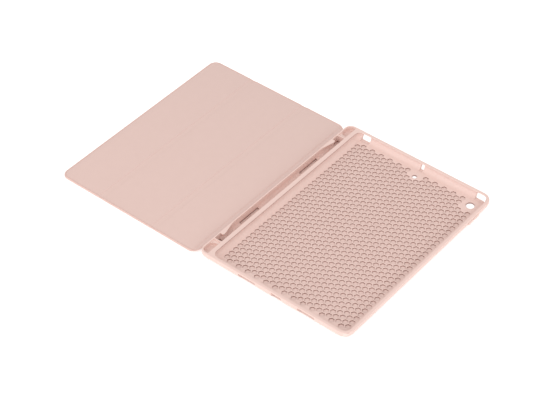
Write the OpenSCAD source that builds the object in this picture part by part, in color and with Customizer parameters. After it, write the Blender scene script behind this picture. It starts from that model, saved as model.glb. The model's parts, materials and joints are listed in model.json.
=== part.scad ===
// Folio case for a tablet: a moulded tray with a stylus channel, and a cover of three stiff panels.
// The case lies open and flat on its back. X runs from the cover's free edge to the tray's far side,
// Y along the hinge, Z up. The origin is in the middle of the open case, on the surface it rests on.

/* [Tablet] */
// Width of the tablet that the tray holds
tablet_w = 174.1; // [172:0.1:176]
// Length of the tablet
tablet_l = 250.6; // [248:0.1:253]
// Thickness of the tablet
tablet_t = 7.5; // [7:0.1:8]
// Gap left round the tablet
tablet_gap = 0.25; // [0.1:0.05:0.4]

/* [Tray] */
// Thickness of the tray's floor
floor_t = 2; // [1.8:0.1:2.4]
// Thickness of the side wall away from the hinge
side_wall_t = 2.5; // [2.2:0.1:3]
// Thickness of the two end walls
end_wall_t = 2.7; // [2.4:0.1:3.2]
// Height of the lip that holds the tablet in
lip_h = 0.9; // [0.7:0.1:1.2]
// How far the lip reaches over the tablet
lip_reach = 0.9; // [0.5:0.1:1.2]
// Rounding of the outer lower edge
edge_r = 8; // [6:0.5:9]
// Rounding between the floor and the walls inside
fillet_r = 5.5; // [4:0.5:6]
// Corner radius in plan, away from the hinge
corner_r = 11.5; // [10:0.5:14]
// Corner radius in plan, on the hinge side
hinge_corner_r = 8.5; // [8:0.5:10]

/* [Stylus channel] */
// Width of the channel, which takes a round stylus
channel_w = 9.2; // [9:0.1:9.6]
// Length of the channel between its two end ribs
channel_l = 208.4; // [190:0.2:212]
// Thickness of the channel's floor
channel_floor_t = 1.6; // [1.4:0.1:1.8]
// Thickness of the wall outside the channel
channel_wall_t = 1.4; // [1.2:0.1:1.6]
// Thickness of the divider between channel and tablet
divider_t = 4.3; // [3.5:0.1:5]
// How far each retaining tab reaches over the channel
tab_reach = 4.2; // [3:0.1:4.4]
// Length of each retaining tab
tab_l = 20; // [15:1:25]

/* [Honeycomb] */
// Whether the floor has its pattern of shallow cells
with_cells = false; // [true, false]
// Distance between neighbouring cells
cell_pitch = 6.93; // [6.8:0.01:8]
// Width of a cell across its flats
cell_w = 5.8; // [4:0.1:6]
// Depth of a cell
cell_depth = 1.1; // [0.5:0.1:1.4]

/* [Cover] */
// Length of the cover along the hinge
cover_l = 256.7; // [250:0.1:260]
// Width of the free panel, from its edge to its fold
free_panel_w = 59.1; // [56:0.1:62]
// Width of the middle panel, from fold to fold
middle_panel_w = 74.5; // [70:0.1:78]
// Width of the inner panel, from its fold to the spine
inner_panel_w = 57.03; // [54:0.01:60]
// Corner radius of the cover
cover_corner_r = 9.5; // [8:0.5:11]
// Thickness of the outer skin
skin_t = 0.6; // [0.5:0.1:0.8]
// Thickness of the stiffening boards
board_t = 1; // [0.8:0.1:1.2]
// Thickness of the lining
lining_t = 0.6; // [0.5:0.1:0.8]
// Border of bonded skin and lining round each board
border_w = 4; // [3:0.5:6]
// Half the width of the bare strip at each fold
crease_half = 3.75; // [3.5:0.05:4.5]
// Length of the spine and of the flap that joins it to the tray
spine_l = 233.4; // [220:0.2:236]
// Height of the hinge line on the tray's wall
hinge_h = 5; // [4.8:0.1:5.4]
// Length of leather from the tray's hinge line to the cover's
spine_w = 6.8; // [6.7:0.05:7.4]
// Width of the flap that is glued under the tray
flap_w = 16; // [12:1:20]

/* [Buttons] */
// Length of a volume button
button_l = 9.4; // [8:0.1:9.4]
// Height of a volume button
button_h = 3.4; // [3:0.1:4]
// How far a button stands out of the wall
button_proud = 0.6; // [0.3:0.1:0.8]

/* [Hidden] */

$fn = 64;
eps = 0.01;
past = 1;                       // how far a cutting tool runs past what it cuts

// the tray's outside and its pocket
pocket_w = tablet_w + 2 * tablet_gap;
pocket_l = tablet_l + 2 * tablet_gap;
tray_w = channel_wall_t + channel_w + divider_t + pocket_w + side_wall_t;
tray_l = pocket_l + 2 * end_wall_t;
tray_h = floor_t + tablet_t + lip_h;
pocket_corner_r = 8;
hinge_edge_r = 3;

// the cover from its free edge to the tray
cover_t = skin_t + board_t + lining_t;
axis_z = cover_t / 2;           // height of the folds when the cover lies flat
skin_gap = 1.8;                 // from the tray's wall to the hinge line beside it
spine_rise = hinge_h - axis_z;
spine_run = sqrt(spine_w * spine_w - spine_rise * spine_rise);
spine_tilt = asin(spine_rise / spine_w);
cover_w = free_panel_w + middle_panel_w + inner_panel_w + spine_run;
open_w = cover_w + skin_gap + tray_w + button_proud;

free_x = -open_w / 2;
outer_fold_x = free_x + free_panel_w;
inner_fold_x = outer_fold_x + middle_panel_w;
spine_fold_x = inner_fold_x + inner_panel_w;
tray_fold_x = spine_fold_x + spine_run;
tray_x = tray_fold_x + skin_gap;
far_x = tray_x + tray_w;

channel_x = tray_x + channel_wall_t;
divider_x = channel_x + channel_w;
pocket_x = divider_x + divider_t;
pocket_cx = pocket_x + pocket_w / 2;
rib_y = channel_l / 2;

// the thin web of skin and lining beside each fold
web_half_t = 0.7;
web_gap = 1.4;                  // from the fold's axis to the end of the web
crease_r = 0.9;
hinge_crease_r = 0.7;
crease_slope = 0.5;
corner_pocket_z = 5;            // floor of the small hollows beyond the channel's ribs
rib_t = 1.2;
shelf_w = 3.4;
shelf_drop = 1.6;
flap_t = 0.7;
flap_proud = 0.8;

// openings in the walls, as distances from the middle of the tablet
wall_window_z = [1.5, 9];
jack_window = [-76, 11.5];     // middle and width
mic_window = [0, 4.5];
power_window = [76.4, 12.5];
plug_window = [0, 13];
speaker_window = [38, 22];
camera_hole = [72.8, 110.2];
camera_r = 4.8;
mic_hole_r = 2.75;
camera_ring_r = 8.6;
mic_ring_r = 4.6;

button_y = [95.95, 85.75];      // volume up and volume down
button_z = 5.7;
button_r = 1.5;
button_gap = 0.2;
button_sunk = 0.1;              // from the wall's inner face to the button's back

magnet_t = 0.9;
bar_magnet = [5, 22];
disc_magnet_r = 3.5;
disc_place = 0.3;               // from the middle, as a share of the cover's length

pink = "#e6c5b9";
blush = "#e3c2b5";
steel = "#b9bcc0";
board_grey = "#8c8a86";

// A rectangle with round corners, of radius ra at low x and rb at high x.
module round_rect(x0, x1, y0, y1, ra, rb) {
    polygon([
        [x0 + ra, y0], [x1 - rb, y0], [x1, y0 + rb], [x1, y1 - rb],
        [x1 - rb, y1], [x0 + ra, y1], [x0, y1 - ra], [x0, y0 + ra]
    ]);
    for (y = [y0 + ra, y1 - ra])
        translate([x0 + ra, y]) circle(ra);
    for (y = [y0 + rb, y1 - rb])
        translate([x1 - rb, y]) circle(rb);
}

// A section that is round at its two lower corners and square above.
module cradle(x0, x1, z0, z1, ra, rb) {
    polygon([[x0 + ra, z0], [x1 - rb, z0], [x1, z0 + rb], [x1, z1], [x0, z1], [x0, z0 + ra]]);
    translate([x0 + ra, z0 + ra]) circle(ra);
    translate([x1 - rb, z0 + rb]) circle(rb);
}

// Pushes an outline drawn in X and Z along Y, between y0 and y1.
module along_y(y0, y1) {
    translate([0, y1, 0]) rotate([90, 0, 0]) linear_extrude(y1 - y0) children();
}

// Pushes an outline drawn in Y and Z along X, between x0 and x1.
module along_x(x0, x1) {
    translate([x0, 0, 0]) rotate([90, 0, 90]) linear_extrude(x1 - x0) children();
}

// A box with round corners in plan and round lower edges on all four sides.
module tub(x0, x1, half_y, z0, z1, plan_ra, plan_rb, edge_ra, edge_rb) {
    intersection() {
        translate([0, 0, z0]) linear_extrude(z1 - z0)
            round_rect(x0, x1, -half_y, half_y, plan_ra, plan_rb);
        along_y(-half_y - past, half_y + past) cradle(x0, x1, z0, z1 + past, edge_ra, edge_rb);
        along_x(x0 - past, x1 + past) cradle(-half_y, half_y, z0, z1 + past, edge_rb, edge_rb);
    }
}

// The space for the tablet: full size below, narrower between the lips.
module tablet_pocket() {
    tub(pocket_x, pocket_x + pocket_w, pocket_l / 2, floor_t, tray_h - lip_h,
        pocket_corner_r, pocket_corner_r, fillet_r, fillet_r);
    translate([0, 0, tray_h - lip_h - eps]) linear_extrude(lip_h + past)
        round_rect(pocket_x + lip_reach, pocket_x + pocket_w - lip_reach,
                   -pocket_l / 2 + lip_reach, pocket_l / 2 - lip_reach,
                   pocket_corner_r - lip_reach, pocket_corner_r - lip_reach);
}

// One tab over the channel, at its end with positive y: widest near the rib and tapering off.
module retaining_tab() {
    tab_t = 1.5;
    nose_r = 1.6;
    foot_x = 1;                 // reach of the tab where its slope gets flatter
    foot_y = tab_l * 0.7;
    y_wide = rib_y - 10.6;
    translate([channel_x, 0, tray_h - tab_t]) linear_extrude(tab_t) {
        polygon([
            [-eps, y_wide + nose_r], [tab_reach - nose_r, y_wide + nose_r], [tab_reach, y_wide],
            [tab_reach, y_wide - nose_r], [foot_x, y_wide - foot_y], [-eps, y_wide - tab_l]
        ]);
        translate([tab_reach - nose_r, y_wide]) circle(nose_r);
    }
}

// The channel between its ribs, with the deeper places in its floor.
module stylus_channel() {
    groove_edge_r = 0.8;
    groove_r = channel_w / 2 - 0.6;
    well_l = 8;
    slot_w = 2.6;
    slot_y = [35, 65.5];
    along_y(-rib_y, rib_y)
        cradle(channel_x, divider_x, channel_floor_t, tray_h + past, groove_edge_r, groove_r);
    for (side = [-1, 1]) {
        y0 = side > 0 ? rib_y - well_l : -rib_y;
        translate([channel_x, y0, flap_t]) cube([channel_w, well_l, tray_h]);
        y1 = side > 0 ? slot_y[0] : -slot_y[1];
        translate([channel_x, y1, flap_t]) cube([slot_w, slot_y[1] - slot_y[0], tray_h]);
    }
}

// The hollow in the corner beyond the rib at positive y, and the step down to it from the rib.
module corner_pocket() {
    hollow_r = 6.5;
    end_t = 2.4;
    ledge = 0.4;
    y0 = rib_y + rib_t;
    y1 = tray_l / 2 - end_t;
    x0 = channel_x + ledge;
    translate([0, 0, corner_pocket_z]) linear_extrude(tray_h) difference() {
        translate([x0, y0 + shelf_w]) square([divider_x - x0, y1 - y0 - shelf_w]);
        difference() {
            translate([x0 - past, y1 - hollow_r]) square([hollow_r + past, hollow_r + past]);
            translate([x0 + hollow_r, y1 - hollow_r]) circle(hollow_r);
        }
    }
    translate([x0, y0, tray_h - shelf_drop]) cube([divider_x - x0, shelf_w + eps, tray_h]);
}

// Windows through an end wall: side is 1 for the camera's end, -1 for the other.
module wall_window(middle, width, side) {
    r = 1.4;
    y0 = side > 0 ? pocket_l / 2 - fillet_r : -tray_l / 2 - past;
    along_y(y0, y0 + fillet_r + end_wall_t + past)
        round_rect(pocket_cx + middle - width / 2, pocket_cx + middle + width / 2,
                   wall_window_z[0], wall_window_z[1], r, r);
}

module honeycomb() {
    column = cell_pitch * sqrt(3) / 2;
    columns = floor((pocket_w - 2 * fillet_r) / column);
    rows = floor((pocket_l - 2 * fillet_r - 8) / cell_pitch);
    hex_r = cell_w / sqrt(3);
    for (i = [0 : columns - 1], j = [0 : rows - 1 + i % 2]) {
        x = (i - (columns - 1) / 2) * column;
        y = (j - (rows - 1 + i % 2) / 2) * cell_pitch;
        from_camera = norm([x, y] - camera_hole);
        from_mic = norm([x, y - camera_hole[1]]);
        if (from_camera > camera_ring_r + hex_r && from_mic > mic_ring_r + hex_r / 2)
            translate([pocket_cx + x, y]) circle(hex_r, $fn = 6);
    }
}

module button_pad(grow) {
    round_rect(-button_l / 2 - grow, button_l / 2 + grow,
               button_z - button_h / 2 - grow, button_z + button_h / 2 + grow, button_r, button_r);
}

// The flap runs down the tray's wall, round its lower edge and under its floor.
module flap_section() {
    outer_r = hinge_edge_r + 0.3;
    flap_top = hinge_h - 1;
    intersection() {
        translate([tray_x - flap_proud, 0]) square([flap_w + flap_proud, flap_top]);
        difference() {
            cradle(tray_x - flap_proud, tray_x + 2 * flap_w, 0, tray_h, outer_r, 1);
            cradle(tray_x, tray_x + 2 * flap_w, flap_t, tray_h + past, hinge_edge_r - 0.5, 1);
        }
    }
}

module back_tray() {
    color(pink) {
        difference() {
            tub(tray_x, far_x, tray_l / 2, 0, tray_h, hinge_corner_r, corner_r, hinge_edge_r, edge_r);
            tablet_pocket();
            stylus_channel();
            for (side = [0, 1]) mirror([0, side, 0]) corner_pocket();
            if (with_cells)
                translate([0, 0, floor_t - cell_depth]) linear_extrude(cell_depth + eps) honeycomb();
            translate([pocket_cx + camera_hole[0], camera_hole[1], -past])
                cylinder(h = floor_t + 2 * past, r = camera_r);
            translate([pocket_cx, camera_hole[1], -past])
                cylinder(h = floor_t + 2 * past, r = mic_hole_r);
            wall_window(jack_window[0], jack_window[1], 1);
            wall_window(mic_window[0], mic_window[1], 1);
            wall_window(power_window[0], power_window[1], 1);
            wall_window(plug_window[0], plug_window[1], -1);
            for (side = [-1, 1])
                wall_window(side * speaker_window[0], speaker_window[1], -1);
            for (y = button_y)
                translate([0, y, 0]) along_x(far_x - edge_r, far_x + past) button_pad(button_gap);
            along_y(-spine_l / 2, spine_l / 2) flap_section();
        }
        for (side = [0, 1]) mirror([0, side, 0]) retaining_tab();
    }
}

module volume_button(y) {
    color(pink) translate([0, y, 0])
        along_x(far_x - side_wall_t + button_sunk, far_x + button_proud) button_pad(0);
}

module volume_up_button() { volume_button(button_y[0]); }
module volume_down_button() { volume_button(button_y[1]); }

module hinge_flap() {
    color(pink) along_y(-spine_l / 2, spine_l / 2) flap_section();
}

// The round crease in the leather along a hinge line.
module crease(x, z, r, length) {
    color(blush) translate([x, length / 2, z]) rotate([90, 0, 0]) cylinder(h = length, r = r);
}

module tray_crease() { crease(tray_fold_x, hinge_h, hinge_crease_r, spine_l); }
module spine_crease() { crease(spine_fold_x, axis_z, hinge_crease_r, spine_l); }
module inner_crease() { crease(inner_fold_x, axis_z, crease_r, cover_l - 2); }
module outer_crease() { crease(outer_fold_x, axis_z, crease_r, cover_l - 2); }

// A strip of the spine, between v0 and v1 across its thickness.
module spine_strip(v0, v1) {
    translate([spine_fold_x, -spine_l / 2, axis_z]) rotate([0, -spine_tilt, 0])
        translate([web_gap, 0, v0]) cube([spine_w - 2 * web_gap, spine_l, v1 - v0]);
}

module spine_skin() { color(pink) spine_strip(-web_half_t, 0); }
module spine_lining() { color(blush) spine_strip(0, web_half_t); }

// The plan of a panel between two fold lines; a free edge has round corners instead of a web.
module panel_plan(x0, x1, inset, r0, r1) {
    round_rect(x0 + inset, x1 - inset, -cover_l / 2 + inset, cover_l / 2 - inset,
               max(r0 - inset, 1), max(r1 - inset, 1));
}

// The space for a board, inside the bonded border.
module board_space(x0, x1, r0, r1) {
    translate([0, 0, skin_t]) linear_extrude(board_t) panel_plan(x0, x1, border_w, r0, r1);
}

// Skin and lining thin down to a web at each fold: skin below the fold's axis, lining above it.
module skin_section(x0, x1, fold0, fold1) {
    low = axis_z - web_half_t;
    a = x0 + (fold0 ? crease_half : 0);
    b = x1 - (fold1 ? crease_half : 0);
    top = skin_t + board_t;
    polygon(concat(
        fold0 ? [[a + crease_slope, 0], [a, low], [x0 + web_gap, low], [x0 + web_gap, axis_z],
                 [a, axis_z], [a + crease_slope, top]] : [[a, 0], [a, top]],
        fold1 ? [[b - crease_slope, top], [b, axis_z], [x1 - web_gap, axis_z],
                 [x1 - web_gap, low], [b, low], [b - crease_slope, 0]] : [[b, top], [b, 0]]
    ));
}

module lining_section(x0, x1, fold0, fold1) {
    high = axis_z + web_half_t;
    a = x0 + (fold0 ? crease_half : 0);
    b = x1 - (fold1 ? crease_half : 0);
    under = skin_t + board_t;
    polygon(concat(
        fold0 ? [[a + crease_slope, under], [a, axis_z], [x0 + web_gap, axis_z], [x0 + web_gap, high],
                 [a, high], [a + crease_slope, cover_t]] : [[a, under], [a, cover_t]],
        fold1 ? [[b - crease_slope, cover_t], [b, high], [x1 - web_gap, high],
                 [x1 - web_gap, axis_z], [b, axis_z], [b - crease_slope, under]]
              : [[b, cover_t], [b, under]]
    ));
}

module panel_skin(x0, x1, fold0, fold1, r0, r1) {
    color(pink) difference() {
        intersection() {
            along_y(-cover_l / 2, cover_l / 2) skin_section(x0, x1, fold0, fold1);
            linear_extrude(cover_t) panel_plan(x0, x1, 0, r0, r1);
        }
        board_space(x0 + (fold0 ? crease_half : 0), x1 - (fold1 ? crease_half : 0), r0, r1);
    }
}

module panel_lining(x0, x1, fold0, fold1, r0, r1) {
    color(blush) intersection() {
        along_y(-cover_l / 2, cover_l / 2) lining_section(x0, x1, fold0, fold1);
        linear_extrude(cover_t) panel_plan(x0, x1, 0, r0, r1);
    }
}

module bar_slots(x, count, span, height) {
    for (i = [0 : count - 1])
        translate([x - bar_magnet[0] / 2, (i - (count - 1) / 2) * span - bar_magnet[1] / 2, skin_t])
            cube([bar_magnet[0], bar_magnet[1], height]);
}

module disc_slots(x, height) {
    for (y = [-1, 1] * cover_l * disc_place)
        translate([x, y, skin_t]) cylinder(h = height, r = disc_magnet_r);
}

bar_count = 5;
bar_span = 46;
closing_x = free_x + border_w + bar_magnet[0] / 2 + 2;
wake_x = closing_x + 9;
stand_x = spine_fold_x - crease_half - border_w - bar_magnet[0] / 2 - 2;

module free_panel_skin() {
    panel_skin(free_x, outer_fold_x, false, true, cover_corner_r, 1);
}
module free_panel_board() {
    color(board_grey) difference() {
        board_space(free_x, outer_fold_x - crease_half, cover_corner_r, 1);
        translate([0, 0, -eps]) bar_slots(closing_x, bar_count, bar_span, magnet_t + eps);
        translate([0, 0, -eps]) disc_slots(wake_x, magnet_t + eps);
    }
}
module free_panel_lining() {
    panel_lining(free_x, outer_fold_x, false, true, cover_corner_r, 1);
}
module closing_magnets() {
    color(steel) bar_slots(closing_x, bar_count, bar_span, magnet_t);
}
module wake_magnets() {
    color(steel) disc_slots(wake_x, magnet_t);
}

module middle_panel_skin() {
    panel_skin(outer_fold_x, inner_fold_x, true, true, 1, 1);
}
module middle_panel_board() {
    color(board_grey) board_space(outer_fold_x + crease_half, inner_fold_x - crease_half, 1, 1);
}
module middle_panel_lining() {
    panel_lining(outer_fold_x, inner_fold_x, true, true, 1, 1);
}

module inner_panel_skin() {
    panel_skin(inner_fold_x, spine_fold_x - web_gap, true, false, 1, cover_corner_r);
}
module inner_panel_board() {
    color(board_grey) difference() {
        board_space(inner_fold_x + crease_half, spine_fold_x - web_gap, 1, cover_corner_r);
        translate([0, 0, -eps]) bar_slots(stand_x, bar_count, bar_span, magnet_t + eps);
    }
}
module inner_panel_lining() {
    panel_lining(inner_fold_x, spine_fold_x - web_gap, true, false, 1, cover_corner_r);
}
module stand_magnets() {
    color(steel) bar_slots(stand_x, bar_count, bar_span, magnet_t);
}

back_tray();
volume_up_button();
volume_down_button();
hinge_flap();
tray_crease();
spine_skin();
spine_lining();
spine_crease();
inner_panel_skin();
inner_panel_board();
inner_panel_lining();
stand_magnets();
inner_crease();
middle_panel_skin();
middle_panel_board();
middle_panel_lining();
outer_crease();
free_panel_skin();
free_panel_board();
free_panel_lining();
closing_magnets();
wake_magnets();
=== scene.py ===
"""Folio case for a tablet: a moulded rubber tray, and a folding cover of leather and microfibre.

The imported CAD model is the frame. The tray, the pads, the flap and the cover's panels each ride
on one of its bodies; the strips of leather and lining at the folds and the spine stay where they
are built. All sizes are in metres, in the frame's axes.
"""

import json
import math

import bmesh
import bpy
from bpy.props import FloatProperty, FloatVectorProperty, PointerProperty
from mathutils import Matrix, Vector


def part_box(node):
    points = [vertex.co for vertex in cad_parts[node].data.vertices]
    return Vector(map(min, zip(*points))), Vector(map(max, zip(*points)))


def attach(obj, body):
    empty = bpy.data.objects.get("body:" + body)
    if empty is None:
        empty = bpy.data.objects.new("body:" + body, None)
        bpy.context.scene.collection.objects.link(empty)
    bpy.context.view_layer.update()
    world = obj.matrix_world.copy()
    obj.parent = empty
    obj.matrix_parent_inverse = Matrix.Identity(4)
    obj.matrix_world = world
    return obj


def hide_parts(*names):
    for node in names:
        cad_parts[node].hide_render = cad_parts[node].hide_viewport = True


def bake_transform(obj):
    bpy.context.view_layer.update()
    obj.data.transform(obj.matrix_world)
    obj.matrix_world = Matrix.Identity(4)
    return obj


bl_info = {
    "name": "Tablet Folio Case",
    "version": (1, 0, 0),
    "blender": (4, 5, 0),
    "location": "3D View > Sidebar > Folio Case",
    "description": "Builds a tablet case with a moulded tray and a folding cover on a CAD frame",
    "category": "Add Mesh",
}

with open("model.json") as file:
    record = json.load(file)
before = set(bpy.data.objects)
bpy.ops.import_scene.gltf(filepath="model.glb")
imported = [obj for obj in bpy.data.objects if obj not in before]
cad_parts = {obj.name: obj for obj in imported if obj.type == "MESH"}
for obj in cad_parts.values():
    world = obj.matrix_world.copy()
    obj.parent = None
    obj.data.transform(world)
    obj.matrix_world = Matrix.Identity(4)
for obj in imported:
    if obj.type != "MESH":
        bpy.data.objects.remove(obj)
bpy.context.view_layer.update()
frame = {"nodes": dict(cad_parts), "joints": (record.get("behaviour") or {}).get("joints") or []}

MM = 0.001
TINY = 0.02 * MM
PAST = 2 * MM
WELD = 0.002 * MM

TRAY_LOW, TRAY_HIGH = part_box("back_tray")
FLAP_LOW, FLAP_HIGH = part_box("hinge_flap")
FREE_LOW, FREE_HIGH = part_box("free_panel_skin")
HINGES = {joint["name"]: joint["pos_m"] for joint in frame["joints"] if "pos_m" in joint}
OUTER_FOLD_X = HINGES["outer_fold"][0]
INNER_FOLD_X = HINGES["inner_fold"][0]
SPINE_X, _, SPINE_Z = HINGES["spine_hinge"]
TRAY_HINGE_X, _, TRAY_HINGE_Z = HINGES["tray_hinge"]
COVER_TOP = max(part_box("free_panel_lining")[1].z, FREE_HIGH.z)


# ---------------------------------------------------------------- properties


def length(name, description, millimetres):
    """A size that a user can change, in metres."""
    return FloatProperty(
        name=name,
        description=description,
        default=millimetres * MM,
        min=0,
        precision=5,
        subtype="DISTANCE",
        unit="LENGTH",
    )


def turn(name, description, degrees):
    """An angle that a user can change."""
    return FloatProperty(
        name=name, description=description, default=math.radians(degrees), subtype="ANGLE"
    )


def linear(channel):
    """A screen colour channel, 0 to 255, as the linear number that shaders take."""
    c = channel / 255
    return c / 12.92 if c <= 0.04045 else ((c + 0.055) / 1.055) ** 2.4


def colour(name, description, red, green, blue):
    """A colour that a user can change, given as screen channels from 0 to 255."""
    return FloatVectorProperty(
        name=name,
        description=description,
        default=[linear(c) for c in (red, green, blue)],
        min=0,
        max=1,
        subtype="COLOR",
        size=3,
    )


class TrayShape(bpy.types.PropertyGroup):
    """Sizes of the moulded tray."""

    floor: length("Floor", "Thickness of the floor", 2.0)
    side_wall: length("Side wall", "Thickness of the wall away from the hinge", 2.5)
    end_wall: length("End wall", "Thickness of the two end walls", 2.7)
    lip_height: length("Lip height", "Height of the lip over the tablet", 0.9)
    lip_reach: length("Lip reach", "How far the lip reaches over the tablet", 0.9)
    edge: length("Lower edge", "Rounding of the outer lower edge", 8.0)
    hinge_edge: length("Hinge edge", "Rounding of the lower edge beside the hinge", 3.0)
    fillet: length("Fillet", "Rounding between the floor and the walls inside", 5.5)
    corner: length("Corner", "Corner radius away from the hinge", 11.5)
    hinge_corner: length("Hinge corner", "Corner radius beside the hinge", 8.5)
    pocket_corner: length("Pocket corner", "Corner radius of the pocket", 8.0)
    rim: length("Rim", "Rounding of the rim's outer edge", 0.8)
    soft_edge: length("Soft edge", "Rounding of the edges round the openings above", 0.4)


class ChannelShape(bpy.types.PropertyGroup):
    """Sizes of the stylus channel and the hollows in the corners beyond it."""

    wall: length("Wall", "Thickness of the wall outside the channel", 1.4)
    width: length("Width", "Width of the channel", 9.2)
    divider: length("Divider", "Thickness of the wall between channel and tablet", 4.3)
    floor: length("Floor", "Thickness of the channel's floor", 1.6)
    half_length: length("Half length", "From the middle to each end rib", 104.2)
    well: length("Well", "Length of the deeper place beside each rib", 8.0)
    slot_width: length("Slot width", "Width of the two slots in the floor", 2.6)
    slot_start: length("Slot start", "From the middle to the near end of a slot", 35.0)
    slot_end: length("Slot end", "From the middle to the far end of a slot", 65.5)
    deep: length("Deep floor", "Height of the floor in the wells and slots", 0.85)
    rib: length("Rib", "Thickness of the ribs at the channel's ends", 1.2)
    shelf: length("Shelf", "Length of the step beyond each rib", 3.4)
    shelf_drop: length("Shelf drop", "How far the step lies below the rim", 1.6)
    hollow_floor: length("Hollow floor", "Height of the floor of a corner hollow", 5.0)
    tab_reach: length("Tab reach", "How far a tab reaches over the channel", 4.2)
    tab_length: length("Tab length", "Length of a tab's slope along the wall", 20.0)
    tab_thickness: length("Tab thickness", "Thickness of a tab", 1.5)


class OpeningShape(bpy.types.PropertyGroup):
    """Sizes of the windows and the two round holes. Places are from the pocket's middle."""

    window_low: length("Window foot", "Height of the lower edge of the windows", 1.5)
    window_high: length("Window head", "Height of the upper edge of the windows", 9.0)
    window_corner: length("Window corner", "Corner radius of the windows", 1.4)
    hole_y: length("Hole place", "From the middle to the camera and microphone holes", 110.2)
    camera_x: length("Camera place", "From the middle to the camera hole", 72.8)
    camera_radius: length("Camera hole", "Radius of the camera hole", 4.8)
    hole_slope: length("Hole slope", "Width of the sloped rim round those holes", 0.9)
    camera_ring: length("Camera ring", "Radius left plain round the camera hole", 8.6)
    microphone_radius: length("Microphone hole", "Radius of the microphone hole", 2.75)
    microphone_ring: length("Microphone ring", "Radius left plain round that hole", 4.6)


class CellShape(bpy.types.PropertyGroup):
    """Sizes of the honeycomb in the tray's floor."""

    pitch: length("Pitch", "Distance between neighbouring cells", 6.93)
    width: length("Width", "Width of a cell across its flats", 5.8)
    depth: length("Depth", "Depth of a cell", 1.1)
    bevel: length("Bevel", "Softening of a cell's upper edge", 0.1)
    draft: length("Draft", "How much narrower a cell is at its floor", 0.1)
    plain: length("Plain", "Length left plain at the two ends together", 8.0)


class CoverShape(bpy.types.PropertyGroup):
    """Sizes of the cover."""

    corner: length("Corner", "Corner radius at the free edge", 9.5)
    hinge_corner: length("Hinge corner", "Corner radius beside the hinge", 11.5)
    ear: length("Ear", "How far the cover's corners reach past the spine's fold", 3.9)
    low_round: length("Outer edge", "Rounding of the outer skin's edge", 0.6)
    top_round: length("Inner edge", "Rounding of the border on the lining's side", 1.1)
    border: length("Border", "Width of the skin's border round the lining", 1.8)
    skin: length("Skin", "Thickness of the outer skin", 0.6)
    board: length("Board", "Thickness of the stiffening board", 1.0)
    sunk: length("Sunk", "How far the lining lies below the border", 0.1)
    fold: length("Fold", "Half the width of the bare strip at a fold", 3.75)
    slope: length("Slope", "Width of the slope beside a fold", 0.6)
    recess: length("Recess", "Depth of the folds below the panels", 0.5)
    spine_fold: length("Spine fold", "Half the width of the bend beside the spine", 3.5)


class CaseColours(bpy.types.PropertyGroup):
    """Base colours of the finishes."""

    rubber: colour("Rubber", "The tray and the volume pads", 229, 201, 192)
    rubber_deep: colour("Rubber, deep", "The tone the rubber varies towards", 222, 192, 183)
    lining: colour("Lining", "The microfibre", 220, 192, 184)
    lining_deep: colour("Lining, deep", "The tone between the lining's fibres", 209, 180, 171)
    # Painted shade: a dark tone that stands in for the shade on the honeycomb's walls and under the
    # pocket's lips.
    painted_wall_shade: colour("Cell wall", "The duller tone of the honeycomb's steep walls", 150, 114, 106)
    # Painted light: a paler tone that stands in for the light on the pocket's walls that face the
    # ends.
    painted_wall_light: colour("Inner wall", "The paler tone of the walls round the tablet", 240, 214, 206)
    leather: colour("Leather", "The outer skin", 220, 188, 179)
    leather_deep: colour("Leather, deep", "The tone in the leather's grain", 205, 170, 160)
    board: colour("Board", "The stiffening boards", 150, 146, 138)
    board_deep: colour("Board, deep", "The flecks in the boards", 112, 108, 102)
    steel: colour("Steel", "The magnets", 196, 198, 202)
    ground: colour("Ground", "The floor under the case", 247, 247, 247)


class StageSet(bpy.types.PropertyGroup):
    """Camera, light and floor."""

    azimuth: turn("Azimuth", "Direction of the camera round the case", 39.21)
    elevation: turn("Elevation", "Height of the camera above the horizon", 43.19)
    roll: turn("Roll", "Turn of the camera about its own axis", -0.17)
    distance: length("Distance", "From the camera to its target", 1815.95)
    target_x: FloatProperty(
        name="Target X", description="Camera target", default=16.17 * MM, subtype="DISTANCE"
    )
    target_y: FloatProperty(
        name="Target Y", description="Camera target", default=-20.09 * MM, subtype="DISTANCE"
    )
    lens: FloatProperty(name="Lens", description="Focal length in millimetres", default=111.7)
    dome: FloatProperty(name="Dome", description="Strength of the white surroundings", default=0.9)
    key: FloatProperty(name="Key", description="Power of the key light in watts", default=150.0)
    fill: FloatProperty(name="Fill", description="Power of the fill light in watts", default=84.0)


# ---------------------------------------------------------------- finishes


class Value:
    """A socket in a finish. Sums and products of values add their own Math nodes."""

    def __init__(self, finish, socket):
        self.finish = finish
        self.socket = socket

    def _math(self, operation, first, second):
        return self.finish.add("ShaderNodeMath", {"operation": operation}, {0: first, 1: second})

    def __add__(self, other):
        return self._math("ADD", self, other)

    def __sub__(self, other):
        return self._math("SUBTRACT", self, other)

    def __rsub__(self, other):
        return self._math("SUBTRACT", other, self)

    def __mul__(self, other):
        return self._math("MULTIPLY", self, other)

    __radd__ = __add__
    __rmul__ = __mul__


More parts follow.
